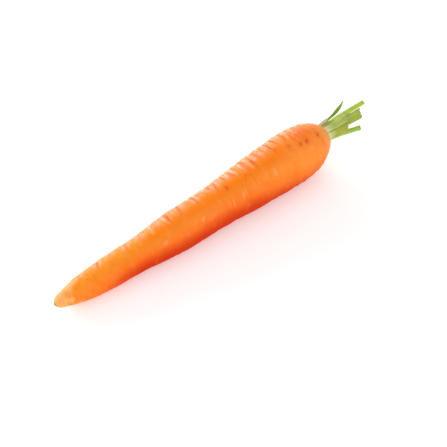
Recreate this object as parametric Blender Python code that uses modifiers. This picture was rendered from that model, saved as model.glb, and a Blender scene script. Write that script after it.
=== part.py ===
"""A fresh carrot with its leaves cut short, lying on its side: one taproot, and its leaf stalks' stubs.

Run it with blender --background --python part.py, or from Blender's text editor.
Metres, +Z up. The root lies along X, with its tip towards -X and its crown towards +X, and it rests
on z = 0. The origin is the middle of the whole object's outline, on the surface that it lies on.
"""

import math
from collections import namedtuple

import bmesh
import bpy
from mathutils import Vector

MM = 0.001
COLLECTION = "carrot"

# Driving dimensions
ROOT_LENGTH = 190 * MM
ROOT_RADIUS = 15.6 * MM
TIP_AXIS_HEIGHT = 6.4 * MM  # of the root's axis above the surface it lies on
CROWN_AXIS_HEIGHT = 16.6 * MM
SIDE_BOW = 2.2 * MM  # how far the middle of the root bows towards -Y
OVALNESS = 0.025  # the root is this share wider than round, and this share lower
BELLY_FLAT = 0.45 * MM  # how much of the belly is pressed flat against the surface
TUFT_OFFSET = Vector((0, 0.6, 0.4)) * MM  # from the root's axis to the middle of the stalks' rosette
GAP = 0.3 * MM  # between the crown and each stalk

# Fineness of the solids
ROOT_SIDES = 40
ROOT_RINGS = 36
STALK_SIDES = 16
STALK_RINGS = 7
SHARP_ANGLE = math.radians(50)

# The root's outline, from its tip (0) to its crown (1): share of ROOT_LENGTH, share of ROOT_RADIUS.
ROOT_OUTLINE = (
    (0.000, 0.05),
    (0.006, 0.15),
    (0.018, 0.235),
    (0.035, 0.305),
    (0.065, 0.393),
    (0.100, 0.474),
    (0.150, 0.538),
    (0.200, 0.572),
    (0.250, 0.590),
    (0.300, 0.620),
    (0.370, 0.705),
    (0.430, 0.752),
    (0.550, 0.790),
    (0.680, 0.885),
    (0.790, 0.960),
    (0.857, 1.000),
    (0.900, 0.968),
    (0.940, 0.870),
    (0.970, 0.722),
    (0.990, 0.550),
    (1.000, 0.430),
)

# A leaf stalk stands on the crown at a foot and runs beside the root's axis to its cut end.
# foot, end: (degrees, mm) from the rosette's middle, turning from straight up (0) towards +Y (90).
# lean: 1 for a straight stalk, more for one that bends outwards late. faces: which way its rounded
# back looks, in the same degrees. reach: mm along the axis. foot_size, end_size: (width, thickness)
# in mm. bends: how far around its section is bent at the foot and at the end, in degrees.
Stalk = namedtuple("Stalk", "name foot end lean faces reach foot_size end_size bends material")
STALKS = (
    Stalk(
        "stalk_long", (42, 4.4), (42, 4.5), 1.8, 42, 33.5,
        (4.2, 1.7), (2.9, 2.6), (55, 30), "green",
    ),
    Stalk(
        "stalk_front_short", (-17, 4.4), (-17, 5.2), 1.8, -17, 17,
        (4.1, 1.7), (5.2, 1.9), (53, 45), "green",
    ),
    Stalk(
        "stalk_front_low", (-72, 4.4), (-74, 5.7), 1.8, -72, 14.5,
        (3.8, 1.7), (4.6, 2.0), (50, 40), "green",
    ),
    Stalk(
        "stalk_low", (-125, 4.4), (-124, 7.6), 1.8, -125, 23.5,
        (3.7, 1.7), (3.4, 2.9), (48, 30), "green",
    ),
    Stalk(
        "stalk_back_lower", (182, 4.4), (188, 6.0), 1.8, 182, 14,
        (3.9, 1.7), (3.2, 2.2), (50, 35), "green",
    ),
    Stalk(
        "stalk_back_upper", (112, 4.4), (108, 6.2), 1.8, 112, 26,
        (4.8, 1.7), (3.4, 2.3), (62, 30), "green",
    ),
    Stalk(
        "stalk_broad", (145, 1.2), (160, 1.3), 1.8, 145, 29.5,
        (4.3, 1.3), (6.2, 1.7), (60, 70), "green",
    ),
    Stalk(
        "stalk_young", (-35, 1.5), (-35, 1.7), 1.8, -35, 12,
        (2.6, 1.2), (1.7, 1.2), (40, 0), "green",
    ),
    Stalk(
        "stalk_thin", (80, 6.3), (72, 11.2), 2.6, 80, 24.3,
        (1.6, 1.0), (1.2, 0.8), (15, 0), "green",
    ),
    Stalk(
        "dry_leaf_base", (30, 6.1), (34, 6.9), 1.8, 30, 6,
        (4.4, 0.6), (2.6, 0.5), (40, 20), "dry",
    ),
)
SECTION_POWER = 0.8  # of a stalk's section: 1 is an ellipse, and less is squarer


def clear_scene():
    for obj in list(bpy.data.objects):
        bpy.data.objects.remove(obj, do_unlink=True)


def new_collection():
    collection = bpy.data.collections.new(COLLECTION)
    bpy.context.scene.collection.children.link(collection)
    return collection


def principled(name, colour, roughness):
    material = bpy.data.materials.new(name)
    material.use_nodes = True
    shader = material.node_tree.nodes["Principled BSDF"]
    shader.inputs["Base Color"].default_value = (*colour, 1.0)
    shader.inputs["Roughness"].default_value = roughness
    shader.inputs["Metallic"].default_value = 0.0
    return material


def make_materials():
    return {
        "skin": principled("root_skin", (0.93, 0.29, 0.045), 0.42),
        "green": principled("leaf_stalk_green", (0.36, 0.50, 0.08), 0.5),
        "dry": principled("dry_leaf_base_brown", (0.40, 0.27, 0.10), 0.8),
    }


def finish(name, mesh, material, collection):
    """Makes one named object of a mesh, smooth shaded up to its sharp edges."""
    mesh.materials.clear()
    mesh.materials.append(material)
    mesh.shade_smooth()
    mesh.set_sharp_from_angle(angle=SHARP_ANGLE)
    obj = bpy.data.objects.new(name, mesh)
    collection.objects.link(obj)
    return obj


def root_radius(share):
    """The root's radius at a share of its length, on a smooth curve through ROOT_OUTLINE."""
    last = len(ROOT_OUTLINE) - 1
    i = 0
    while i < last - 1 and share > ROOT_OUTLINE[i + 1][0]:
        i += 1
    slopes = []
    for j in (i, i + 1):
        x_before, r_before = ROOT_OUTLINE[max(j - 1, 0)]
        x_after, r_after = ROOT_OUTLINE[min(j + 1, last)]
        slopes.append((r_after - r_before) / (x_after - x_before))
    x0, r0 = ROOT_OUTLINE[i]
    x1, r1 = ROOT_OUTLINE[i + 1]
    step = x1 - x0
    t = (share - x0) / step
    start = (2 * t**3 - 3 * t**2 + 1) * r0 + (t**3 - 2 * t**2 + t) * step * slopes[0]
    end = (3 * t**2 - 2 * t**3) * r1 + (t**3 - t**2) * step * slopes[1]
    return ROOT_RADIUS * (start + end)


def root_axis(share):
    """A point of the root's axis: it rises to the crown, bows to one side, and lets the belly rest."""
    side = -SIDE_BOW * math.sin(math.pi * share)
    straight = TIP_AXIS_HEIGHT + (CROWN_AXIS_HEIGHT - TIP_AXIS_HEIGHT) * share
    resting = root_radius(share) * (1 - OVALNESS) - BELLY_FLAT
    return Vector((ROOT_LENGTH * share, side, max(straight, resting)))


def root_profile():
    """Half of the root's outline as (radius, height) pairs, down the outside from crown to tip."""
    points = [(0.0, ROOT_LENGTH)]
    for i in range(ROOT_RINGS, -1, -1):
        share = 0.5 - 0.5 * math.cos(math.pi * i / ROOT_RINGS)
        points.append((root_radius(share), ROOT_LENGTH * share))
    points.append((0.0, 0.0))
    return points


def turned(name, profile, sides):
    """The mesh of a profile of (radius, height) pairs turned about Z."""
    outline = bpy.data.meshes.new(name + "_outline")
    edges = [(i, i + 1) for i in range(len(profile) - 1)]
    outline.from_pydata([(radius, 0.0, height) for radius, height in profile], edges, [])
    lathe = bpy.data.objects.new(name + "_lathe", outline)
    bpy.context.scene.collection.objects.link(lathe)
    screw = lathe.modifiers.new("turn", "SCREW")
    screw.axis = "Z"
    screw.steps = sides
    screw.render_steps = sides
    screw.use_merge_vertices = True
    screw.merge_threshold = 0.01 * MM
    graph = bpy.context.evaluated_depsgraph_get()
    made = bpy.data.meshes.new_from_object(lathe.evaluated_get(graph))
    made.name = name
    bpy.data.objects.remove(lathe, do_unlink=True)
    return made


def lay_down(mesh):
    """Lays a root that was turned about Z along its axis, oval, with one facet down on the surface."""
    half_facet = math.pi / ROOT_SIDES
    for vertex in mesh.vertices:
        angle = math.atan2(vertex.co.y, vertex.co.x) + half_facet
        radius = math.hypot(vertex.co.x, vertex.co.y)
        point = root_axis(vertex.co.z / ROOT_LENGTH)
        point.y += radius * (1 + OVALNESS) * math.sin(angle)
        point.z -= radius * (1 - OVALNESS) * math.cos(angle)
        point.z = max(point.z, 0.0)
        vertex.co = point


def add_root(collection, material):
    mesh = turned("root", root_profile(), ROOT_SIDES)
    lay_down(mesh)
    return finish("root", mesh, material, collection)


def outward(degrees):
    """The direction across the axis at some degrees from straight up, turning towards +Y."""
    angle = math.radians(degrees)
    return Vector((0.0, math.sin(angle), math.cos(angle)))


def mix(a, b, share):
    return a + (b - a) * share


def superellipse(wave):
    return math.copysign(abs(wave) ** SECTION_POWER, wave)


def stalk_section(width, thickness, bend):
    """A stalk's outline across as (sideways, outwards) pairs: a rounded bar, bent into a channel."""
    outline = []
    radius = width / bend if bend else 0.0
    for i in range(STALK_SIDES):
        angle = 2 * math.pi * i / STALK_SIDES
        sideways = 0.5 * width * superellipse(math.sin(angle))
        outwards = 0.5 * thickness * superellipse(math.cos(angle))
        if bend:
            turn = sideways / radius
            sideways = (radius + outwards) * math.sin(turn)
            outwards = (radius + outwards) * math.cos(turn) - radius
        outline.append((sideways, outwards))
    return outline


def stalk_point(stalk, share):
    """A point of a stalk's middle line, at a share of its reach."""
    middle = root_axis(1.0) + TUFT_OFFSET
    middle.x += GAP + stalk.reach * MM * share
    lean = share**stalk.lean
    degrees = mix(stalk.foot[0], stalk.end[0], lean)
    out = mix(stalk.foot[1], stalk.end[1], lean) * MM
    return middle + outward(degrees) * out


def stalk_ring(stalk, share):
    """The points of a stalk's section at a share of its reach, square to its middle line."""
    ease = share * share * (3 - 2 * share)
    width = mix(stalk.foot_size[0], stalk.end_size[0], ease) * MM
    thickness = mix(stalk.foot_size[1], stalk.end_size[1], ease) * MM
    bend = math.radians(mix(stalk.bends[0], stalk.bends[1], ease))
    centre = stalk_point(stalk, share)
    ahead = (stalk_point(stalk, share + 0.01) - stalk_point(stalk, max(share - 0.01, 0.0))).normalized()
    if share == 0:
        ahead = Vector((1, 0, 0))
    across = ahead.cross(outward(stalk.faces)).normalized()
    back = across.cross(ahead)
    section = stalk_section(width, thickness, bend)
    return [centre + across * sideways + back * outwards for sideways, outwards in section]


def add_stalk(stalk, collection, material):
    """A closed loft from the channelled foot on the crown to the rounder cut end."""
    loft = bmesh.new()
    rings = []
    for i in range(STALK_RINGS + 1):
        ring = stalk_ring(stalk, i / STALK_RINGS)
        rings.append([loft.verts.new(point) for point in ring])
    for low, high in zip(rings, rings[1:]):
        for j in range(STALK_SIDES):
            k = (j + 1) % STALK_SIDES
            loft.faces.new((low[j], low[k], high[k], high[j]))
    loft.faces.new(rings[0])
    loft.faces.new(rings[-1])
    bmesh.ops.recalc_face_normals(loft, faces=loft.faces)
    mesh = bpy.data.meshes.new(stalk.name)
    loft.to_mesh(mesh)
    loft.free()
    return finish(stalk.name, mesh, material, collection)


def centre_on_surface(parts):
    """Puts the middle of the whole outline over the origin. The belly is at z = 0 already."""
    points = [vertex.co for part in parts for vertex in part.data.vertices]
    xs = [point.x for point in points]
    ys = [point.y for point in points]
    for part in parts:
        part.location = (-(min(xs) + max(xs)) / 2, -(min(ys) + max(ys)) / 2, 0.0)


def main():
    clear_scene()
    collection = new_collection()
    materials = make_materials()
    parts = [add_root(collection, materials["skin"])]
    for stalk in STALKS:
        parts.append(add_stalk(stalk, collection, materials[stalk.material]))
    centre_on_surface(parts)


main()
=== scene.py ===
"""The looks of a fresh carrot with short-cut leaf stalks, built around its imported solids."""

import math
from collections import namedtuple

import bpy
import numpy as np
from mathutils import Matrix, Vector, noise


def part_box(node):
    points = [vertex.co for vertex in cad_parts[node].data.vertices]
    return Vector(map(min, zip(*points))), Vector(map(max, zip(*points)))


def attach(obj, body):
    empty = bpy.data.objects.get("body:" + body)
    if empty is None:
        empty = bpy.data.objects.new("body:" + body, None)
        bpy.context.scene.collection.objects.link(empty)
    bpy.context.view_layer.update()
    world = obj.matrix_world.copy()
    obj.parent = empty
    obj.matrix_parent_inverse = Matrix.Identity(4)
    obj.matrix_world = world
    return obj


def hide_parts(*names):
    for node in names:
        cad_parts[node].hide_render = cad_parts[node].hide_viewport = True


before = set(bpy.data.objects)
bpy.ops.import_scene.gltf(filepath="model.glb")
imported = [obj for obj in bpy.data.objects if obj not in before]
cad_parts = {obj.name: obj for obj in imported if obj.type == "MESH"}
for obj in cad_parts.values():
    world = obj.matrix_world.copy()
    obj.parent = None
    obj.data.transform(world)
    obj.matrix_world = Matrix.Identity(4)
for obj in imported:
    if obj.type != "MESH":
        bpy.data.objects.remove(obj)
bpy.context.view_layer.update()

MM = 0.001
SEED = 11

# The camera: its place around the carrot, its lens, and how wide a strip of the floor it sees.
CAMERA_AZIMUTH = -38.1
CAMERA_ELEVATION = 49.0
CAMERA_LENS = 128.0
CAMERA_SENSOR = 36.0
VIEW_WIDTH = 250.4 * MM
ROOT_RIGHT = -16.0 * MM  # where the middle of the root stands in the view, right of the view's centre
ROOT_UP = 5.6 * MM

# The light: a white horizon under a dimmer ceiling, and a floor that glows a little, so that it
# stays white to the edges of the view.
CEILING_LIGHT = 0.66
HORIZON_TOP = (0.15, 0.5)  # sines of the elevations where the white ends and the ceiling begins
FLOOR_SIZE = 6.0
FLOOR_GLOW = (0.15, 0.34)  # near the carrot and far from it
GLOW_REACH = (0.5, 2.0)  # where the near glow ends and the far one begins, in metres

# The root's grid, and the shape of its two ends beyond the solid's end rings.
ROOT_RINGS = 810
ROOT_SIDES = 120
OUTLINE_STEPS = 3000
TIP_STEPS = 20
CROWN_STEPS = 120
FLATNESS = 0.975 / 1.025  # the solid's height over its width
TIP_DOME = 0.2 * MM
CROWN_DOME = 0.4 * MM

# The root's unevenness: (length and width of its lumps in mm, their height in mm, their seed), and
# where it starts, is full, is still full and ends, as shares of the root's length from its tip.
SWELLS = (
    (34, 34, 0.30, 2),
    (6, 16, 0.20, 3),
    (2.4, 5, 0.05, 6),
)
UNEVEN_PART = (0.0, 0.03, 0.97, 1.0)

# Folds that run around the root: (share of its length from the tip, degrees from straight up
# towards +Y, half of its sweep in degrees, half width in mm, depth in mm)
FOLDS = (
    (0.10, 40, 50, 0.9, 0.18),
    (0.16, 32, 45, 0.8, 0.31),
    (0.205, 60, 60, 1.0, 0.23),
    (0.262, 48, 55, 1.0, 0.36),
    (0.315, 45, 60, 1.0, 0.26),
    (0.372, 55, 55, 1.1, 0.31),
    (0.41, 24, 40, 0.9, 0.52),
    (0.457, 42, 50, 1.1, 0.47),
    (0.51, 42, 45, 1.0, 0.55),
    (0.535, 62, 50, 1.0, 0.39),
    (0.57, 50, 45, 1.1, 0.52),
    (0.588, 24, 34, 0.9, 0.39),
    (0.627, 44, 40, 1.0, 0.47),
    (0.652, 42, 42, 1.0, 0.55),
    (0.674, 56, 42, 0.9, 0.47),
    (0.70, 36, 46, 1.1, 0.59),
    (0.727, 18, 38, 1.0, 0.42),
    (0.757, 46, 50, 1.2, 0.65),
    (0.785, 64, 45, 1.0, 0.42),
    (0.803, 38, 40, 1.0, 0.52),
    (0.828, 34, 32, 0.9, 0.36),
    (0.857, 42, 42, 1.1, 0.55),
    (0.872, 20, 30, 0.7, 0.36),
    (0.886, 46, 42, 0.9, 0.55),
    (0.899, 14, 26, 0.6, 0.30),
    (0.912, 44, 40, 0.9, 0.48),
    (0.925, 14, 38, 0.6, 0.30),
    (0.938, 40, 46, 0.7, 0.38),
    (0.951, 10, 40, 0.55, 0.26),
    (0.963, 42, 40, 0.6, 0.30),
    (0.973, 16, 44, 0.5, 0.20),
    (0.957, -72, 30, 0.5, 0.14),
    (0.931, -100, 26, 0.6, 0.14),
    (0.945, -106, 26, 0.6, 0.16),
    (0.966, -94, 32, 0.6, 0.14),
)
# More folds, scattered one after another along the root. Each value is drawn between two limits:
# the step to the next fold, as a share of the root's length, and the same values as in FOLDS.
Scatter = namedtuple("Scatter", "step degrees sweep width depth")
SCATTERED_FOLDS = {
    "upper_fine": Scatter((0.004, 0.011), (26, 76), (9, 30), (0.3, 0.5), (0.2, 0.46)),
    "upper_long": Scatter((0.012, 0.03), (5, 60), (12, 36), (0.3, 0.45), (0.1, 0.24)),
    "front": Scatter((0.007, 0.018), (-115, -5), (6, 22), (0.35, 0.7), (0.04, 0.13)),
    "behind_deep": Scatter((0.012, 0.03), (105, 250), (22, 55), (0.7, 1.1), (0.12, 0.34)),
    "behind_fine": Scatter((0.006, 0.016), (80, 260), (14, 34), (0.42, 0.7), (0.08, 0.24)),
}
FIRST_FOLD = 0.02
LAST_FOLD = 0.97
# Towards the tip these folds stand further apart and are less deep: this share of the crown's
# crowding, which grows to the full one between two shares of the root's length.
SPARSE = 0.35
CROWDING = (0.15, 0.5)
# A fold is a groove between two lips, with a dark line at its bottom: the groove and the line are
# painted shade, and the lips painted highlight. Places and widths are in the fold's half widths, and
# heights in its depth.
GROOVE_FALL = 1.4  # the power of the distance by which the groove falls off
LIP_PLACE = 2.1
LIP_SPREAD = 1.6  # the square of a lip's width
LIP_HEIGHT = 0.4
CREASE_WIDTH = 0.55
CREASED_DEPTH = (0.05, 0.3)  # in mm, from no painted shadow line to a full one
FULL_DEPTH = 0.3  # in mm: a fold this deep shows its painted shade and highlight in full
FOLD_SLANT = (-1.0, 2.2)  # how far along the root a fold's end stands from its middle
WAVER = 1.1 * MM  # how far a fold strays along the root
WAVER_SIZE = 12 * MM

# Short marks: (share, degrees, half sweep in degrees, half width in mm, depth in mm, brownness)
PITS = (
    (0.952, -22, 7, 1.0, 0.22, 0.7),
    (0.957, -42, 18, 0.7, 0.12, 0.25),
    (0.902, -22, 7, 1.1, 0.25, 0.75),
    (0.879, -20, 5, 0.8, 0.25, 0.8),
    (0.844, -9, 6, 1.2, 0.12, 0.45),
    (0.803, 1, 6, 0.6, 0.18, 0.5),
    (0.726, 12, 7, 0.8, 0.15, 0.4),
    (0.680, -8, 4, 0.8, 0.12, 0.4),
    (0.608, -7, 8, 0.7, 0.25, 0.65),
    (0.412, 20, 6, 0.5, 0.20, 0.55),
    (0.160, 30, 6, 0.5, 0.15, 0.5),
    (0.108, -12, 4, 0.6, 0.10, 0.3),
)
# More of them on the sides behind, drawn between two limits
RANDOM_PITS = 46
PIT_DEGREES = (60, 270)
PIT_SHARE = (0.1, 0.95)
PIT_SWEEP = (2.5, 9)
PIT_WIDTH = (0.35, 0.7)
PIT_DEPTH = (0.08, 0.3)
PIT_BROWN = (0.15, 0.7)
PIT_SLANT = (-0.8, 0.8)
RIM_PLACE = 2.0  # in the pit's half widths
RIM_HEIGHT = 0.25  # in the pit's depth
HALO_SIZE = 2.2  # of the red around a pit, over the pit's own
# Pale scars: (share, degrees, half sweep in degrees, half width in mm, paleness)
SCARS = (
    (0.493, -44, 7, 0.9, 0.6),
    (0.760, -40, 10, 0.8, 0.35),
    (0.714, -2, 6, 0.6, 0.4),
    (0.638, -46, 13, 0.5, 0.45),
    (0.650, -40, 11, 0.4, 0.35),
    (0.602, -50, 14, 0.5, 0.4),
    (0.588, -44, 10, 0.4, 0.3),
    (0.528, -48, 12, 2.2, 0.16),
    (0.360, -46, 8, 1.6, 0.3),
    (0.520, 18, 10, 0.7, 0.4),
    (0.347, 6, 16, 0.8, 0.35),
)
SCAR_HEIGHT = 0.08 * MM
SCAR_SLANT = 0.8
# Fine rings and fibres on the crown
CROWN_RINGS_FROM = 20 * MM  # before the end of the crown
CROWN_RINGS_FULL = 12 * MM
RING_WIDTH = 1.5 * MM  # of a ring, and of the dip beside it
RING_HEIGHT = 0.05 * MM
FIBRE_SIZE = (1.0 * MM, 1.6 * MM, 1.6 * MM)

# Stretches of the skin, as where each starts, is full, is still full and ends: in degrees from
# straight up towards +Y, or as shares of the root's length from its tip.
HIGHLIT_LIPS = (-20, 35, 55, 92)  # of the painted highlight on the folds' lips
LONG_TIP = (-70, 20, 90, 150)  # where the tip's pale colour reaches furthest
# pale flecks painted on the upper side, as highlight
FLECKED_SIDE = (-5, 40, 62, 110)
OCHRE_SIDE = (-60, -20, 25, 70)
# painted highlight on the upper side of the thin half, and painted reflection on the front of the thick
# half
HIGHLIGHT_THIN_HALF = (5, 45, 80, 130)
REFLECTION_THICK_HALF = (-90, -55, -35, 0)
DEEP_PART = (0.25, 0.35, 0.78, 0.86)  # of a band of deeper orange along the root
DEEP_BAND = (-8, 18)  # its middle and its half width in degrees
BLUSH_PLACE = (0.905, 3)  # share and degrees
BLUSH_SIZE = (0.035, 20)
# The belly is painted redder, as shade: (share of the root's length, degrees from the belly's middle to
# its edge)
BELLY_EDGE = ((0.1, 134), (0.2, 146), (0.35, 137), (0.65, 134), (0.75, 118), (0.85, 102), (0.95, 82))
BELLY_FADE = (-30, 62)  # degrees inside that edge, from no red to full red
BELLY_PART = (0.0, 0.3)  # shares of the root's length, from no red to full red
# The tip and the crown, as distances along the skin
TIP_END = (0.6 * MM, 2.6 * MM)
CROWN_TINT = (9 * MM, 20 * MM)
CROWN_TOP = (10 * MM, 16 * MM)  # the part that the bed and the cork are on
# The bed of the leaf stalks and the cork around it, by the distance from the rosette's middle
BED_RADIUS = (5.6 * MM, 6.4 * MM)
CORK_RADIUS = 6.6 * MM
CORK_WIDTH = 0.45 * MM

# A leaf stalk, as in the solids: foot and end are (degrees, mm from the rosette's middle), lean
# above 1 bends it outwards late, faces is where its rounded back looks, reach and the (width,
# thickness) sizes are in mm, bends are in degrees. cut: how far its cut end slants, as (rise over
# run, towards which degrees).
TUFT_OFFSET = Vector((0, 0.6, 0.4)) * MM
STALK_GAP = 0.3 * MM
SECTION_POWER = 0.8
Stalk = namedtuple("Stalk", "name foot end lean faces reach foot_size end_size bends cut swell look")
STALKS = (
    Stalk("stalk_long", (42, 4.4), (42, 4.5), 1.8, 42, 33.5,
          (4.2, 1.7), (2.9, 2.6), (55, 30), (0.1, 60), 0.12, "bright"),
    Stalk("stalk_front_short", (-17, 4.4), (-17, 5.2), 1.8, -17, 17,
          (4.3, 1.7), (5.6, 1.9), (53, 45), (0.5, 60), 0.05, "light"),
    Stalk("stalk_front_low", (-72, 4.4), (-74, 5.7), 1.8, -72, 14.5,
          (4.0, 1.7), (5.0, 2.0), (50, 40), (0.4, 60), 0.05, "olive"),
    Stalk("stalk_low", (-125, 4.4), (-124, 7.6), 1.8, -125, 23.5,
          (3.7, 1.7), (3.4, 2.9), (48, 30), (0.1, 60), 0, "browned"),
    Stalk("stalk_back_lower", (182, 4.4), (188, 6.0), 1.8, 182, 14,
          (3.9, 1.7), (3.2, 2.2), (50, 35), (0.2, 180), 0, "olive"),
    Stalk("stalk_back_upper", (112, 4.4), (108, 6.2), 1.8, 112, 26,
          (4.8, 1.7), (3.4, 2.3), (62, 30), (0.3, 110), 0, "bright"),
    Stalk("stalk_broad", (145, 1.2), (160, 1.3), 1.8, 145, 29.5,
          (4.3, 1.3), (6.2, 1.7), (60, 70), (0.2, 60), 0, "middle"),
    Stalk("stalk_young", (-35, 1.5), (-35, 1.7), 1.8, -35, 12,
          (2.6, 1.2), (1.7, 1.2), (40, 0), (0.0, 0), 0, "bright"),
    Stalk("stalk_thin", (80, 6.3), (72, 11.2), 2.6, 80, 24.3,
          (1.6, 1.0), (1.2, 0.8), (15, 0), (0.0, 0), 1.1, "dark"),
    Stalk("dry_leaf_base", (30, 6.1), (34, 6.9), 1.8, 30, 6,
          (4.4, 0.6), (2.6, 0.5), (40, 20), (0.0, 0), 0.35, "dry"),
)
STALK_RINGS = 90
STALK_SIDES = 72
FOOT_INSETS = (0.75, 0.4, 0.15)  # of the rings that close a stalk's foot
CUT_RINGS = 8
CUT_INSETS = (0.04, 0.94)  # of the first and last ring of a stalk's cut end
CUT_RISE = 0.1  # in mm, of the cut end over the stalk's last ring
CUT_GRAIN = 0.18 * MM
RAGGED_CUT = 0.6 * MM
RAGGED_FROM = 1.5  # in mm before the cut end
RAGGED_SINK = 0.4  # shifts the ragged edge back, so that it is cut away more than it stands out
FOOT_SINK = 1.0 * MM  # how deep a stalk's foot goes into the crown
FOOT_FLARE = (0.21, 0.35)  # how much wider and thicker the foot is
FLARE_REACH = 2.5  # in mm
RIBS = 7  # on a stalk's rounded back
RIB_HEIGHT = 0.11 * MM
RIB_START = 3.0  # in mm from the foot, where the ribs are full
STALK_LUMPS = 0.13 * MM
FLAT_BEND = 0.01  # in radians: a section that bends less stays flat

# Linear colours
SKIN = (0.95, 0.235, 0.010)
SKIN_DEEP = (0.95, 0.205, 0.001)
# the skin's pale, also used for the painted highlight and reflection
SKIN_PALE = (0.95, 0.32, 0.055)
SKIN_OCHRE = (0.94, 0.32, 0.003)
# painted shade: the belly's red-orange, and the darker red under it
SKIN_BELLY_SHADE = (0.84, 0.056, 0.001)
SKIN_UNDER_SHADE = (0.50, 0.020, 0.0005)
SKIN_TIP = (0.87, 0.47, 0.17)
SKIN_CROWN = (0.88, 0.36, 0.10)
TIP_BROWN = (0.42, 0.30, 0.10)
# painted highlight in flecks on the upper side
FLECK_HIGHLIGHT = (0.97, 0.50, 0.24)
# painted highlight on the folds' lips
RIDGE_HIGHLIGHT = (0.97, 0.475, 0.31)
# painted shade in the folds' grooves, and a painted shadow line at their bottom
VALLEY_SHADE = (0.90, 0.165, 0.004)
CREASE_SHADE = (0.48, 0.13, 0.015)
BLUSH = (0.93, 0.14, 0.025)
BROWN = (0.60, 0.085, 0.002)
SCAR = (0.90, 0.52, 0.22)
CORK = (0.32, 0.20, 0.07)
LEAF_BED = (0.72, 0.72, 0.38)
FLOOR_WHITES = ((0.93, 0.93, 0.93), (0.96, 0.96, 0.96))
# A leaf stalk's colours: three along it, then its foot, its cut end and the edge next to that
Look = namedtuple("Look", "green dark pale foot cut edge")
LOOKS = {
    "bright": Look((0.33, 0.47, 0.018), (0.19, 0.31, 0.008), (0.50, 0.60, 0.08),
                   (0.64, 0.64, 0.24), (0.46, 0.54, 0.12), (0.33, 0.42, 0.03)),
    "light": Look((0.37, 0.46, 0.045), (0.20, 0.30, 0.012), (0.57, 0.61, 0.20),
                  (0.68, 0.68, 0.30), (0.46, 0.42, 0.13), (0.28, 0.30, 0.03)),
    "middle": Look((0.30, 0.41, 0.025), (0.18, 0.28, 0.010), (0.40, 0.47, 0.07),
                   (0.62, 0.64, 0.26), (0.36, 0.38, 0.09), (0.17, 0.25, 0.015)),
    "olive": Look((0.31, 0.35, 0.012), (0.20, 0.25, 0.007), (0.46, 0.47, 0.06),
                  (0.70, 0.71, 0.34), (0.52, 0.40, 0.14), (0.32, 0.27, 0.03)),
    "browned": Look((0.29, 0.50, 0.025), (0.17, 0.33, 0.01), (0.46, 0.60, 0.10),
                    (0.62, 0.65, 0.26), (0.32, 0.15, 0.045), (0.32, 0.20, 0.04)),
    "dark": Look((0.12, 0.23, 0.004), (0.08, 0.16, 0.003), (0.24, 0.35, 0.02),
                 (0.32, 0.36, 0.07), (0.20, 0.24, 0.04), (0.12, 0.18, 0.01)),
    "dry": Look((0.25, 0.22, 0.05), (0.13, 0.10, 0.02), (0.36, 0.35, 0.11),
                (0.35, 0.28, 0.09), (0.20, 0.14, 0.04), (0.34, 0.22, 0.03)),
}


def smoothstep(edge0, edge1, x):
    """0 at edge0 and 1 at edge1, with a smooth rise between them."""
    t = np.clip((x - edge0) / (edge1 - edge0), 0.0, 1.0)
    return t * t * (3 - 2 * t)


def stretch(x, start, full, still_full, end):
    """1 from full to still_full, falling smoothly to 0 at start and at end."""
    return smoothstep(start, full, x) * smoothstep(end, still_full, x)


def smooth_through(x, xs, ys):
    """Values at x of a smooth curve through the points (xs, ys)."""
    slopes = np.gradient(ys, xs)
    i = np.clip(np.searchsorted(xs, x) - 1, 0, len(xs) - 2)
    step = xs[i + 1] - xs[i]
    t = np.clip((x - xs[i]) / step, 0.0, 1.0)
    start = (2 * t**3 - 3 * t**2 + 1) * ys[i] + (t**3 - 2 * t**2 + t) * step * slopes[i]
    end = (3 * t**2 - 2 * t**3) * ys[i + 1] + (t**3 - t**2) * step * slopes[i + 1]
    return start + end


def lumps(points, size, seed):
    """Smooth random values, mostly within -1 to 1, in lumps of about that size (one number or three)."""
    scaled = points / np.asarray(size) + seed * 7.31
    flat = [noise.noise(Vector(p)) for p in scaled.reshape(-1, 3)]
    return 1.6 * np.array(flat).reshape(points.shape[:-1])


def solid_rings():
    """The root solid's rings, tip to crown: their x, their centre's y and z, and their half width."""
    points = np.array([vertex.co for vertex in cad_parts["root"].data.vertices])
    places = np.round(points[:, 0], 5)
    rings = []
    for x in np.unique(places):
        ring = points[places == x]
        half = (ring[:, 1].max() - ring[:, 1].min()) / 2
        side = (ring[:, 1].max() + ring[:, 1].min()) / 2
        rings.append((x, side, ring[:, 2].max() - half * FLATNESS, half))
    return np.array(rings).T


def root_outline(ring_x, ring_half):
    """The x and the radius of the root's outline, from the point of its tip to that of its crown."""
    x = np.linspace(ring_x[0], ring_x[-1], OUTLINE_STEPS)
    half = smooth_through(x, ring_x, ring_half)
    tip = np.linspace(0.0, 1.0, TIP_STEPS)[:-1]
    crown = np.linspace(1.0, 0.0, CROWN_STEPS)[1:]
    tip_x = ring_x[0] - TIP_DOME * (1 - tip**2)
    crown_x = ring_x[-1] + CROWN_DOME * (1 - crown**2)
    radius = np.concatenate([tip * half[0], half, crown * half[-1]])
    return np.concatenate([tip_x, x, crown_x]), radius


def outward_normals(points):
    """The unit normals of a grid of rings, facing away from the rings' middles."""
    along = np.gradient(points, axis=0)
    around = np.roll(points, -1, axis=1) - np.roll(points, 1, axis=1)
    normals = np.cross(along, around)
    normals /= np.linalg.norm(normals, axis=2, keepdims=True)
    middle = len(points) // 2
    away = points[middle] - points[middle].mean(axis=0)
    return normals if (normals[middle] * away).sum() > 0 else -normals


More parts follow.
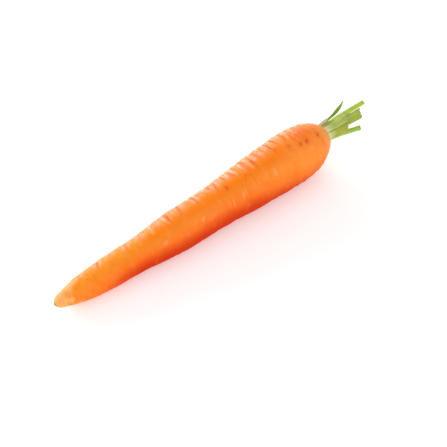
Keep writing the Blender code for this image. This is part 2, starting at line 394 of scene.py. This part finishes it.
class Root:
    """The root's smooth surface as a grid of rings, with where each point of it is."""

    def __init__(self):
        ring_x, ring_y, ring_z, ring_half = solid_rings()
        outline_x, outline_r = root_outline(ring_x, ring_half)
        steps = np.hypot(np.diff(outline_x), np.diff(outline_r))
        run = np.concatenate([[0], np.cumsum(steps)])
        self.run = np.linspace(0, run[-1], ROOT_RINGS + 1)[1:-1]
        self.crown_run = run[-1]
        x = np.interp(self.run, run, outline_x)
        radius = np.interp(self.run, run, outline_r)
        inside = np.clip(x, ring_x[0], ring_x[-1])
        side = smooth_through(inside, ring_x, ring_y)
        height = smooth_through(inside, ring_x, ring_z)
        self.share = (x - ring_x[0]) / (ring_x[-1] - ring_x[0])
        self.degrees = np.arange(ROOT_SIDES) * 360.0 / ROOT_SIDES - 180.0
        angle = np.radians(self.degrees)
        self.points = np.empty((len(x), ROOT_SIDES, 3))
        self.points[..., 0] = x[:, None]
        self.points[..., 1] = side[:, None] + radius[:, None] * np.sin(angle)
        self.points[..., 2] = height[:, None] + radius[:, None] * FLATNESS * np.cos(angle)
        self.normals = outward_normals(self.points)
        self.crown_middle = Vector((ring_x[-1], side[-1], height[-1]))
        self.ends = (
            Vector((outline_x[0], side[0], height[0])),
            Vector((outline_x[-1], side[-1], height[-1])),
        )

    def mark(self, share, degrees, half_sweep, half_width, slant=0.0):
        """How near each point is to a mark across the root, whose half width is in mm.

        Gives the distance from the mark's line over its half width, and a fade from 1 at the
        middle of its sweep to 0 at the ends of it.
        """
        turn = (self.degrees - degrees + 180.0) % 360.0 - 180.0
        along = turn / half_sweep
        centre = float(np.interp(share, self.share, self.run)) + slant * half_width * MM * along
        across = (self.run[:, None] - centre[None, :]) / (half_width * MM)
        fade = np.clip(1 - along**2, 0, 1) ** 1.2
        return across, np.broadcast_to(fade, across.shape)


def scattered_folds(random, scatter):
    """Folds one after another along the root, closer together and deeper towards the crown."""
    folds = []
    share = FIRST_FOLD
    while share < LAST_FOLD:
        crowd = SPARSE + (1 - SPARSE) * smoothstep(*CROWDING, share)
        place = (share, random.uniform(*scatter.degrees), random.uniform(*scatter.sweep))
        folds.append((*place, random.uniform(*scatter.width), random.uniform(*scatter.depth) * crowd))
        share += random.uniform(*scatter.step) / crowd
    return folds


def all_folds(random):
    """FOLDS, then the scattered ones."""
    folds = list(FOLDS)
    for scatter in SCATTERED_FOLDS.values():
        folds.extend(scattered_folds(random, scatter))
    return folds


def random_pits(random):
    pits = []
    for _ in range(RANDOM_PITS):
        degrees = random.uniform(*PIT_DEGREES)
        share = random.uniform(*PIT_SHARE)
        size = (random.uniform(*PIT_SWEEP), random.uniform(*PIT_WIDTH), random.uniform(*PIT_DEPTH))
        pits.append((share, degrees, *size, random.uniform(*PIT_BROWN)))
    return pits


def add_folds(root, random, waver, height, marks):
    """Adds the folds to the height and to the marks."""
    patchy = np.clip(0.75 + 0.6 * lumps(root.points, (3 * MM, 7 * MM, 7 * MM), 4), 0.1, 1.4)
    for place, degrees, sweep, width, depth in all_folds(random):
        across, fade = root.mark(place, degrees, sweep, width, random.uniform(*FOLD_SLANT))
        across = across + waver / (width * MM)
        fade = fade * patchy
        groove = np.exp(-(np.abs(across) ** GROOVE_FALL)) * fade
        before = np.exp(-((across + LIP_PLACE) ** 2) / LIP_SPREAD)
        behind = np.exp(-((across - LIP_PLACE) ** 2) / LIP_SPREAD)
        lips = (before + behind) * fade
        line = np.exp(-((across / CREASE_WIDTH) ** 2)) * fade
        height += (LIP_HEIGHT * lips - groove) * depth * MM
        # The groove's painted shade, the lips' painted highlight, and the painted shadow line at the
        # bottom
        marks["fold"] += groove * depth / FULL_DEPTH
        marks["ridge"] += lips * depth / FULL_DEPTH
        marks["crease"] = np.maximum(marks["crease"], line * smoothstep(*CREASED_DEPTH, depth))


def add_pits(root, random, height, marks):
    """Adds the pits to the height and to the marks."""
    for place, degrees, sweep, width, depth, brown in (*PITS, *random_pits(random)):
        across, fade = root.mark(place, degrees, sweep, width, random.uniform(*PIT_SLANT))
        hole = np.exp(-(across**2)) * fade
        rim = np.exp(-((np.abs(across) - RIM_PLACE) ** 2)) * fade
        height += (RIM_HEIGHT * rim - hole) * depth * MM
        marks["pit"] = np.maximum(marks["pit"], hole * brown)
        across, fade = root.mark(place, degrees, sweep * HALO_SIZE, width * HALO_SIZE)
        marks["halo"] = np.maximum(marks["halo"], np.exp(-(across**2)) * fade * brown)


def add_scars(root, height, marks):
    """Adds the pale scars to the height and to the marks."""
    for place, degrees, sweep, width, pale in SCARS:
        across, fade = root.mark(place, degrees, sweep, width, SCAR_SLANT)
        line = np.exp(-(across**2)) * fade
        height += SCAR_HEIGHT * line
        marks["scar"] = np.maximum(marks["scar"], line * pale)


def root_relief(root):
    """The height of the root's relief in metres, and how strongly each of its marks shows."""
    random = np.random.default_rng(SEED)
    shape = root.points.shape[:2]
    height = np.zeros(shape)
    marks = {name: np.zeros(shape) for name in ("fold", "crease", "ridge", "pit", "halo", "scar")}
    uneven = stretch(root.share[:, None], *UNEVEN_PART)
    for length, width, rise, seed in SWELLS:
        height += lumps(root.points, (length * MM, width * MM, width * MM), seed) * rise * MM * uneven
    waver = lumps(root.points, WAVER_SIZE, 1) * WAVER
    add_folds(root, random, waver, height, marks)
    add_pits(root, random, height, marks)
    add_scars(root, height, marks)
    run_left = root.crown_run - root.run[:, None]
    rings = np.sin((root.run[:, None] + waver) / RING_WIDTH * math.pi)
    fibres = lumps(root.points, FIBRE_SIZE, 5)
    height += (rings + fibres) * RING_HEIGHT * smoothstep(CROWN_RINGS_FROM, CROWN_RINGS_FULL, run_left)
    return height, marks


def grid_mesh(name, points, ends, attributes):
    """A closed mesh of rings of points, with a fan of triangles at each end point."""
    rings, sides = points.shape[:2]
    vertices = np.concatenate([points.reshape(-1, 3), np.array(ends)])
    low = np.arange(rings - 1)[:, None] * sides
    here = np.arange(sides)[None, :]
    after = (here + 1) % sides
    quads = np.stack([low + here, low + after, low + sides + after, low + sides + here], axis=-1)
    faces = quads.reshape(-1, 4).tolist()
    first = len(vertices) - 2
    last = len(vertices) - 1
    top = (rings - 1) * sides
    for j in range(sides):
        k = (j + 1) % sides
        faces.append((first, k, j))
        faces.append((last, top + j, top + k))
    mesh = bpy.data.meshes.new(name)
    mesh.from_pydata(vertices.tolist(), [], faces)
    for key, values in attributes.items():
        layer = mesh.attributes.new(key, "FLOAT", "POINT")
        flat = np.concatenate([values.reshape(-1), [values[0].mean(), values[-1].mean()]])
        layer.data.foreach_set("value", flat.astype(np.float32))
    mesh.shade_smooth()
    mesh.update()
    return mesh


def add_piece(name, mesh, node, material):
    """Adds a piece of the carrot that stands for one of its solids."""
    mesh.materials.append(material)
    piece = bpy.data.objects.new(name, mesh)
    bpy.context.scene.collection.objects.link(piece)
    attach(piece, "root")
    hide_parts(node)


class Nodes:
    """Makes the nodes of one material. Its colour is built up in layers, each over the last."""

    def __init__(self, name):
        self.material = bpy.data.materials.new(name)
        self.material.use_nodes = True
        self.tree = self.material.node_tree
        self.shader = self.tree.nodes["Principled BSDF"]
        self.place = self.new("ShaderNodeTexCoord").outputs["Object"]
        self.colour = None

    def new(self, kind, **settings):
        node = self.tree.nodes.new(kind)
        for key, value in settings.items():
            setattr(node, key, value)
        return node

    def put(self, socket, value):
        """Links a socket to another, or sets its value."""
        if isinstance(value, bpy.types.NodeSocket):
            self.tree.links.new(value, socket)
        elif isinstance(value, tuple) and len(value) == 3 and socket.type == "RGBA":
            socket.default_value = (*value, 1.0)
        else:
            socket.default_value = value

    def set(self, name, value):
        self.put(self.shader.inputs[name], value)

    def attribute(self, name):
        return self.new("ShaderNodeAttribute", attribute_name=name).outputs["Fac"]

    def math(self, operation, a, b):
        node = self.new("ShaderNodeMath", operation=operation)
        self.put(node.inputs[0], a)
        self.put(node.inputs[1], b)
        return node.outputs[0]

    def times(self, a, b):
        return self.math("MULTIPLY", a, b)

    def plus(self, a, b):
        return self.math("ADD", a, b)

    def mix(self, share, a, b):
        """A colour that goes from a to b as share goes from 0 to 1."""
        node = self.new("ShaderNodeMix", data_type="RGBA")
        share_in, colour_a, colour_b = (node.inputs[i] for i in (0, 6, 7))
        self.put(share_in, share)
        self.put(colour_a, a)
        self.put(colour_b, b)
        return node.outputs[2]

    def cover(self, share, colour):
        """Lays a colour over the material's colour, as strongly as share says."""
        self.colour = self.mix(share, self.colour, colour)

    def noise(self, size, detail=3.0, stretched=(1, 1, 1), roughness=0.5):
        """Random values around 0.5, in lumps of about that size in mm, stretched along the axes."""
        mapping = self.new("ShaderNodeMapping")
        self.put(mapping.inputs["Vector"], self.place)
        self.put(mapping.inputs["Scale"], tuple(1000.0 / (size * s) for s in stretched))
        texture = self.new("ShaderNodeTexNoise")
        self.put(texture.inputs["Vector"], mapping.outputs[0])
        self.put(texture.inputs["Scale"], 1.0)
        self.put(texture.inputs["Detail"], detail)
        self.put(texture.inputs["Roughness"], roughness)
        return texture.outputs[0]

    def spread(self, value, low, high, to_low=0.0, to_high=1.0):
        """Stretches a value's range from low..high to to_low..to_high."""
        node = self.new("ShaderNodeMapRange", clamp=True)
        self.put(node.inputs["Value"], value)
        self.put(node.inputs["From Min"], low)
        self.put(node.inputs["From Max"], high)
        self.put(node.inputs["To Min"], to_low)
        self.put(node.inputs["To Max"], to_high)
        return node.outputs[0]

    def bump(self, height, strength, distance):
        node = self.new("ShaderNodeBump")
        self.put(node.inputs["Height"], height)
        self.put(node.inputs["Strength"], strength)
        self.put(node.inputs["Distance"], distance)
        self.set("Normal", node.outputs[0])


def skin_tone(n, blotches, specks, wrinkles):
    """The skin's orange: mottled all over, ochre on the thin half, with painted highlight on its pale
    stretches, and painted shade in red towards the belly.
    """
    patches = n.spread(n.noise(16, 3, (1.3, 1, 1)), 0.35, 0.65)
    mottle = n.spread(n.noise(3.2, 3, (0.8, 1.4, 1.4)), 0.38, 0.62, 0.4, 1.0)
    belly = n.attribute("belly")
    n.colour = n.mix(patches, SKIN_DEEP, SKIN)
    n.cover(n.times(n.attribute("ochre"), mottle), SKIN_OCHRE)
    n.cover(n.times(blotches, 0.72), SKIN_PALE)
    n.cover(n.times(specks, 0.35), SKIN_DEEP)
    n.cover(n.spread(wrinkles, 0.56, 0.72, 0.0, 0.45), SKIN_PALE)
    n.cover(n.spread(wrinkles, 0.44, 0.30, 0.0, 0.5), SKIN_DEEP)
    # Painted highlight and reflection on the pale stretches.
    n.cover(n.times(n.attribute("pale"), 0.75), SKIN_PALE)
    n.cover(n.times(n.attribute("deep"), 0.8), SKIN_DEEP)
    n.cover(n.times(n.attribute("blush"), n.spread(blotches, 0, 1, 0.4, 0.9)), BLUSH)
    # Painted shade: red-orange over the belly, and darker red under it.
    n.cover(belly, SKIN_BELLY_SHADE)
    n.cover(n.spread(belly, 0.4, 1.0, 0.0, 0.7), SKIN_UNDER_SHADE)


def skin_marks(n, blotches):
    """Painted highlight in flecks on the upper side, the pale tip and crown, then the folds with their
    painted shade and highlight, pits and scars.
    """
    flecks = n.spread(n.noise(2.6, 3, (0.7, 1.5, 1.5)), 0.42, 0.72)
    glints = n.spread(n.noise(1.5, 3, (0.8, 2.4, 2.4)), 0.38, 0.66, 0.12, 0.68)
    tip = n.spread(n.plus(n.attribute("tip"), n.times(blotches, 0.6)), 0.5, 1.35)
    # Painted highlight: pale flecks on the upper side.
    n.cover(n.times(n.attribute("upper"), n.times(flecks, 0.3)), FLECK_HIGHLIGHT)
    n.cover(n.times(tip, n.spread(flecks, 0, 1, 0.75, 1.0)), SKIN_TIP)
    n.cover(n.times(n.attribute("crown"), n.spread(blotches, 0, 1, 0.45, 1.0)), SKIN_CROWN)
    # Painted shade in the folds with a painted shadow line at their bottom, and painted highlight in
    # glints on their lips.
    n.cover(n.times(n.attribute("fold"), 0.7), VALLEY_SHADE)
    n.cover(n.times(n.attribute("ridge"), glints), RIDGE_HIGHLIGHT)
    n.cover(n.times(n.attribute("crease"), 0.9), CREASE_SHADE)
    n.cover(n.attribute("scar"), SCAR)
    n.cover(n.times(n.attribute("halo"), 0.75), BLUSH)
    n.cover(n.attribute("pit"), BROWN)


def skin_ends(n, specks):
    """The brown end of the tip, the green bed of the leaf stalks, and the cork around it."""
    n.cover(n.times(n.attribute("tip_end"), n.spread(specks, 0.2, 0.8, 0.4, 1.0)), TIP_BROWN)
    n.cover(n.attribute("bed"), LEAF_BED)
    n.cover(n.times(n.attribute("cork"), n.spread(n.noise(1.1, 4), 0.4, 0.6)), CORK)


def skin_material():
    n = Nodes("root_skin")
    blotches = n.spread(n.noise(4.5, 4, (0.7, 1.3, 1.3)), 0.3, 0.7)
    specks = n.spread(n.noise(0.9, 3, (0.7, 1.6, 1.6)), 0.3, 0.7)
    wrinkles = n.noise(1.0, 3, (0.8, 9, 9), 0.6)
    skin_tone(n, blotches, specks, wrinkles)
    skin_marks(n, blotches)
    skin_ends(n, specks)
    n.set("Base Color", n.colour)
    sheen = n.spread(blotches, 0, 1, 0.32, 0.46)
    dull = n.math("MAXIMUM", n.attribute("crease"), n.attribute("pit"))
    dull = n.math("MAXIMUM", n.attribute("belly"), dull)
    n.set("Roughness", n.plus(sheen, n.times(dull, 0.5)))
    n.set("Subsurface Weight", 0.12)
    n.set("Subsurface Radius", (1.0, 0.3, 0.1))
    n.set("Subsurface Scale", 2.0 * MM)
    n.set("IOR", 1.45)
    n.set("Specular IOR Level", 0.12)
    fine = n.plus(n.noise(0.5, 4, (0.5, 1.5, 1.5)), n.times(wrinkles, 1.6))
    n.bump(fine, 0.8, 0.25 * MM)
    return n.material


def painted_belly_shade(share, degrees, wander):
    """The painted shade of the skin, in red: none above, and most on the belly's side towards -Y."""
    from_belly = np.abs((degrees + 360.0) % 360.0 - 180.0)
    edge = np.interp(share, *zip(*BELLY_EDGE))
    red = smoothstep(*BELLY_FADE, edge + 3 * wander - from_belly) * smoothstep(*BELLY_PART, share)
    return red * (0.80 - 0.18 * np.sin(np.radians(degrees)))


def skin_attributes(root, marks):
    """How strongly each colour of the skin shows at each point of the root."""
    shape = root.points.shape[:2]
    share = np.broadcast_to(root.share[:, None], shape)
    degrees = np.broadcast_to(root.degrees[None, :], shape)
    wander = lumps(root.points, 9 * MM, 8)
    # the belly's painted shade in red
    belly = painted_belly_shade(share, degrees, wander)
    thin = smoothstep(0.5, 0.25, share)
    # the painted highlight on the lips: mostly on the upper side, and more on the thin half
    ridge = (0.15 + 0.85 * stretch(degrees, *HIGHLIT_LIPS)) * (1 + 0.4 * thin)
    crease = 0.3 + 0.7 * smoothstep(0.3, 0.6, share) - 0.45 * smoothstep(0.82, 0.9, share)
    # painted reflection on the front of the thick half, and painted highlight on the upper side of the
    # thin half
    reflection_thick = 0.3 * smoothstep(0.3, 0.5, share) + 0.25 * smoothstep(0.78, 0.9, share)
    reflection_thick = reflection_thick * stretch(degrees, *REFLECTION_THICK_HALF)
    highlight_thin = 0.75 * smoothstep(0.5, 0.15, share) * stretch(degrees, *HIGHLIGHT_THIN_HALF)
    off_deep = (degrees - DEEP_BAND[0]) / DEEP_BAND[1]
    off_blush = np.hypot(
        (share - BLUSH_PLACE[0]) / BLUSH_SIZE[0],
        (degrees - BLUSH_PLACE[1]) / BLUSH_SIZE[1],
    )
    return {
        **marks,
        "belly": belly,
        "fold": marks["fold"] * (1 - belly),
        "ridge": marks["ridge"] * ridge * (1 - 0.85 * belly),
        "crease": marks["crease"] * crease * (1 - 0.85 * belly),
        "scar": marks["scar"] * (1 - 0.7 * belly),
        # the upper side's painted highlight in flecks
        "upper": stretch(degrees, *FLECKED_SIDE) * smoothstep(0.97, 0.9, share),
        "ochre": stretch(degrees, *OCHRE_SIDE) * smoothstep(0.5, 0.2, share),
        # painted highlight and reflection
        "pale": np.maximum(reflection_thick, highlight_thin),
        "deep": np.exp(-(off_deep**2)) * stretch(share, *DEEP_PART),
        "blush": np.exp(-(off_blush**2)),
        **end_attributes(root, share, degrees, wander),
    }


def end_attributes(root, share, degrees, wander):
    """How strongly the colours of the tip and of the crown show at each point of the root."""
    run = root.run[:, None]
    run_left = root.crown_run - run
    tip_reach = 0.08 + 0.08 * stretch(degrees, *LONG_TIP)
    tip_edge = 0.02 * wander + 0.022 * lumps(root.points, (5 * MM, 3 * MM, 3 * MM), 9)
    rosette = np.array(root.crown_middle + TUFT_OFFSET)
    off_rosette = np.linalg.norm(root.points[..., 1:] - rosette[1:], axis=2) + 0.3 * MM * wander
    on_top = smoothstep(*CROWN_TOP[::-1], run_left)
    return {
        "tip": smoothstep(tip_reach, 0.0, share + tip_edge),
        "tip_end": smoothstep(*TIP_END[::-1], run + 0.6 * MM * wander),
        "crown": smoothstep(*CROWN_TINT[::-1], run_left + 2.5 * MM * wander),
        "bed": smoothstep(*BED_RADIUS[::-1], off_rosette) * on_top,
        "cork": np.exp(-(((off_rosette - CORK_RADIUS) / CORK_WIDTH) ** 2)) * on_top,
    }


def add_root():
    root = Root()
    height, marks = root_relief(root)
    points = root.points + root.normals * height[..., None]
    points[..., 2] = np.maximum(points[..., 2], 0.0)
    mesh = grid_mesh("visible_root", points, root.ends, skin_attributes(root, marks))
    add_piece("visible_root", mesh, "root", skin_material())
    return root


def outward(degrees):
    """The direction across the axis at some degrees from straight up, turning towards +Y."""
    angle = math.radians(degrees)
    return np.array((0.0, math.sin(angle), math.cos(angle)))


def superellipse(wave):
    """A sine or cosine as it is on a superellipse, which is squarer than a circle."""
    return np.copysign(np.abs(wave) ** SECTION_POWER, wave)


def unit(vector):
    return vector / np.linalg.norm(vector)


def stalk_angles():
    """The angles of the points around a stalk, from its rounded back."""
    return 2 * math.pi * np.arange(STALK_SIDES) / STALK_SIDES


def stalk_middle(stalk, share, base):
    """A point of a stalk's middle line, at a share of its reach."""
    ease = max(share, 0.0) ** stalk.lean
    degrees = stalk.foot[0] + (stalk.end[0] - stalk.foot[0]) * ease
    out = stalk.foot[1] + (stalk.end[1] - stalk.foot[1]) * ease
    point = base + outward(degrees) * out * MM
    point[0] += STALK_GAP + stalk.reach * MM * share
    return point


def stalk_axes(stalk, share, base):
    """The directions ahead, across and outwards at a share of a stalk's reach."""
    before = stalk_middle(stalk, max(share - 0.01, 0.0), base)
    after = stalk_middle(stalk, share + 0.01, base)
    ahead = unit(after - before) if share > 0 else np.array((1.0, 0.0, 0.0))
    across = unit(np.cross(ahead, outward(stalk.faces)))
    return ahead, across, np.cross(across, ahead)


def stalk_size(stalk, share):
    """A stalk's width and thickness, and its bend across in radians, at a share of its reach."""
    along = np.clip(share, 0, 1)
    ease = along**2 * (3 - 2 * along)
    near_foot = max(0.0, 1 - share * stalk.reach / FLARE_REACH) ** 2 * (stalk.look != "dry")
    swell = 1 + stalk.swell * math.sin(math.pi * along**stalk.lean) ** 2
    width = stalk.foot_size[0] + (stalk.end_size[0] - stalk.foot_size[0]) * ease
    thickness = stalk.foot_size[1] + (stalk.end_size[1] - stalk.foot_size[1]) * ease
    width *= MM * (1 + FOOT_FLARE[0] * near_foot) * swell
    thickness *= MM * (1 + FOOT_FLARE[1] * near_foot) * swell
    bend = math.radians(stalk.bends[0] + (stalk.bends[1] - stalk.bends[0]) * ease)
    return width, thickness, bend


def stalk_ring(stalk, share, base, inset, ribs):
    """The points of a stalk's section at a share of its reach.

    inset is 0 on the stalk's outside and 1 in its middle, and ribs is how high its ribs are.
    """
    width, thickness, bend = stalk_size(stalk, share)
    angle = stalk_angles()
    sideways = 0.5 * width * superellipse(np.sin(angle))
    outwards = 0.5 * thickness * superellipse(np.cos(angle))
    back = smoothstep(-0.1, 0.6, np.cos(angle))
    outwards += ribs * RIB_HEIGHT * back * np.cos(2 * math.pi * RIBS * sideways / width)
    sideways = sideways * (1 - inset)
    outwards = outwards * (1 - inset)
    if bend > FLAT_BEND:
        radius = width / bend
        turn = sideways / radius
        sideways = (radius + outwards) * np.sin(turn)
        outwards = (radius + outwards) * np.cos(turn) - radius
    ahead, across, rise = stalk_axes(stalk, share, base)
    offsets = sideways[:, None] * across + outwards[:, None] * rise
    slant = stalk.cut[0] * (offsets @ outward(stalk.cut[1])) * np.clip(share, 0, 1) ** 3
    return stalk_middle(stalk, share, base) + offsets + slant[:, None] * ahead


def stalk_rings(stalk, base):
    """The rings of a stalk's closed foot, its length and its cut end.

    Gives their points, the share of the stalk's reach that each is at, and 1 on the cut end.
    """
    start = -(FOOT_SINK + STALK_GAP) / (stalk.reach * MM)
    rings = [(stalk_ring(stalk, start, base, inset, 0.0), start, 0.0) for inset in FOOT_INSETS]
    for share in np.linspace(start, 1.0, STALK_RINGS):
        ribs = min(1.0, max(0.0, share * stalk.reach / RIB_START)) * (stalk.look != "dry")
        rings.append((stalk_ring(stalk, share, base, 0.0, ribs), share, 0.0))
    for inset in np.linspace(*CUT_INSETS, CUT_RINGS):
        rings.append((stalk_ring(stalk, 1.0 + CUT_RISE / stalk.reach, base, inset, 1.0), 1.0, 1.0))
    points, shares, cuts = zip(*rings)
    shares = np.repeat(np.array(shares)[:, None], STALK_SIDES, axis=1)
    cuts = np.repeat(np.array(cuts)[:, None], STALK_SIDES, axis=1)
    return np.array(points), shares, cuts


def roughen_stalk(stalk, points, share, cut):
    """A stalk's points with an uneven outside and a ragged, grainy cut end."""
    uneven = lumps(points, (5 * MM, 1.6 * MM, 1.6 * MM), len(stalk.name))
    away = points - points.mean(axis=1, keepdims=True)
    length = np.linalg.norm(away, axis=2, keepdims=True)
    points = points + away / np.maximum(length, 1e-9) * (uneven * STALK_LUMPS * (1 - cut))[..., None]
    points[..., 0] += CUT_GRAIN * lumps(points, 0.8 * MM, 3) * cut
    near_cut = np.maximum(cut, smoothstep(1 - RAGGED_FROM / stalk.reach, 1.0, share))
    ragged = lumps(points * np.array((0.2, 1.0, 1.0)), 1.1 * MM, 9 + len(stalk.name)) - RAGGED_SINK
    points[..., 0] += RAGGED_CUT * ragged * near_cut * (stalk.look != "dry")
    return points


def stalk_mesh(stalk, root):
    base = np.array(root.crown_middle + TUFT_OFFSET)
    points, share, cut = stalk_rings(stalk, base)
    points = roughen_stalk(stalk, points, share, cut)
    angle = stalk_angles()
    attributes = {
        "from_foot": share * stalk.reach,
        "to_end": (1 - share) * stalk.reach,
        "cut": cut,
        "inner": smoothstep(0.1, -0.5, np.cos(angle)) * (1 - cut),
        "stripe": (0.5 + 0.5 * np.cos(math.pi * RIBS * superellipse(np.sin(angle)))) * (1 - cut),
    }
    ends = (points[0].mean(axis=0), points[-1].mean(axis=0))
    return grid_mesh("visible_" + stalk.name, points, ends, attributes)


def stalk_material(name, look):
    """A leaf stalk: streaked green, pale inside and at its foot, with a darker edge at its cut."""
    n = Nodes(name)
    streaks = n.spread(n.noise(0.8, 3, (9, 1, 1)), 0.3, 0.7)
    patches = n.spread(n.noise(3.5, 3, (1.6, 1, 1)), 0.38, 0.62)
    specks = n.spread(n.noise(0.5, 3), 0.3, 0.7)
    from_foot = n.plus(n.attribute("from_foot"), n.times(streaks, 3.0))
    to_end = n.math("SUBTRACT", n.attribute("to_end"), n.times(specks, 0.5))
    n.colour = n.mix(n.times(patches, 0.8), look.green, look.dark)
    n.cover(n.times(streaks, 0.65), look.pale)
    n.cover(n.times(n.attribute("stripe"), 0.3), look.pale)
    n.cover(n.times(n.attribute("inner"), 0.7), look.pale)
    n.cover(n.times(specks, 0.15), look.dark)
    n.cover(n.spread(from_foot, 1.5, 8.0, 1.0, 0.0), look.foot)
    n.cover(n.spread(to_end, 0.0, 0.7, 0.8, 0.0), look.edge)
    n.cover(n.attribute("cut"), n.mix(specks, look.cut, look.pale))
    n.set("Base Color", n.colour)
    n.set("Roughness", n.spread(patches, 0, 1, 0.42, 0.58))
    n.set("Subsurface Weight", 0.12)
    n.set("Subsurface Radius", (0.6, 1.0, 0.2))
    n.set("Subsurface Scale", 1.0 * MM)
    n.bump(n.plus(n.noise(0.35, 3, (8, 1, 1)), n.times(specks, 0.3)), 0.5, 0.08 * MM)
    return n.material


def add_stalks(root):
    materials = {name: stalk_material("leaf_stalk_" + name, look) for name, look in LOOKS.items()}
    for stalk in STALKS:
        mesh = stalk_mesh(stalk, root)
        add_piece("visible_" + stalk.name, mesh, stalk.name, materials[stalk.look])


def make_camera():
    lo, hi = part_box("root")
    azimuth = math.radians(CAMERA_AZIMUTH)
    elevation = math.radians(CAMERA_ELEVATION)
    level = math.cos(elevation)
    back = Vector((math.sin(azimuth) * level, -math.cos(azimuth) * level, math.sin(elevation)))
    right = Vector((math.cos(azimuth), math.sin(azimuth), 0.0))
    up = back.cross(right)
    aim = (lo + hi) / 2 - right * ROOT_RIGHT - up * ROOT_UP
    data = bpy.data.cameras.new("camera")
    data.lens = CAMERA_LENS
    data.sensor_width = CAMERA_SENSOR
    camera = bpy.data.objects.new("camera", data)
    camera.location = aim + back * (VIEW_WIDTH * CAMERA_LENS / CAMERA_SENSOR)
    camera.rotation_euler = (-back).to_track_quat("-Z", "Y").to_euler()
    bpy.context.scene.collection.objects.link(camera)
    bpy.context.scene.camera = camera


def make_floor():
    bpy.ops.mesh.primitive_plane_add(size=FLOOR_SIZE)
    floor = bpy.context.object
    floor.name = "floor"
    n = Nodes("floor")
    n.set("Base Color", n.mix(n.noise(30, 3), *FLOOR_WHITES))
    n.set("Roughness", 0.7)
    n.set("Specular IOR Level", 0.2)
    distance = n.new("ShaderNodeVectorMath", operation="LENGTH")
    n.put(distance.inputs[0], n.place)
    n.set("Emission Color", (1.0, 1.0, 1.0))
    n.set("Emission Strength", n.spread(distance.outputs["Value"], *GLOW_REACH, *FLOOR_GLOW))
    floor.data.materials.append(n.material)


def soft_box(name, towards, distance, size, power):
    """A white rectangle of light that shines on the carrot from a direction."""
    data = bpy.data.lights.new(name, "AREA")
    data.shape = "RECTANGLE"
    data.size = size[0]
    data.size_y = size[1]
    data.energy = power
    light = bpy.data.objects.new(name, data)
    direction = Vector(towards).normalized()
    light.location = direction * distance
    light.rotation_euler = direction.to_track_quat("Z", "Y").to_euler()
    bpy.context.scene.collection.objects.link(light)


def make_light():
    """A white horizon and a dimmer ceiling, a soft box behind the carrot, and a weaker one in front."""
    world = bpy.data.worlds.new("studio")
    world.use_nodes = True
    tree = world.node_tree
    place = tree.nodes.new("ShaderNodeTexCoord")
    split = tree.nodes.new("ShaderNodeSeparateXYZ")
    fade = tree.nodes.new("ShaderNodeMapRange")
    fade.interpolation_type = "SMOOTHSTEP"
    fade.inputs["From Min"].default_value = HORIZON_TOP[0]
    fade.inputs["From Max"].default_value = HORIZON_TOP[1]
    fade.inputs["To Min"].default_value = 1.0
    fade.inputs["To Max"].default_value = CEILING_LIGHT
    tree.links.new(place.outputs["Generated"], split.inputs[0])
    tree.links.new(split.outputs["Z"], fade.inputs["Value"])
    tree.links.new(fade.outputs[0], tree.nodes["Background"].inputs["Color"])
    bpy.context.scene.world = world
    bpy.context.scene.view_settings.view_transform = "Standard"
    soft_box("key", towards=(-0.1, 0.93, 0.28), distance=1.6, size=(2.0, 0.7), power=25.0)
    soft_box("fill", towards=(-0.22, -0.70, 0.68), distance=1.6, size=(1.4, 1.4), power=9.5)


make_camera()
carrot = add_root()
add_stalks(carrot)
make_floor()
make_light()
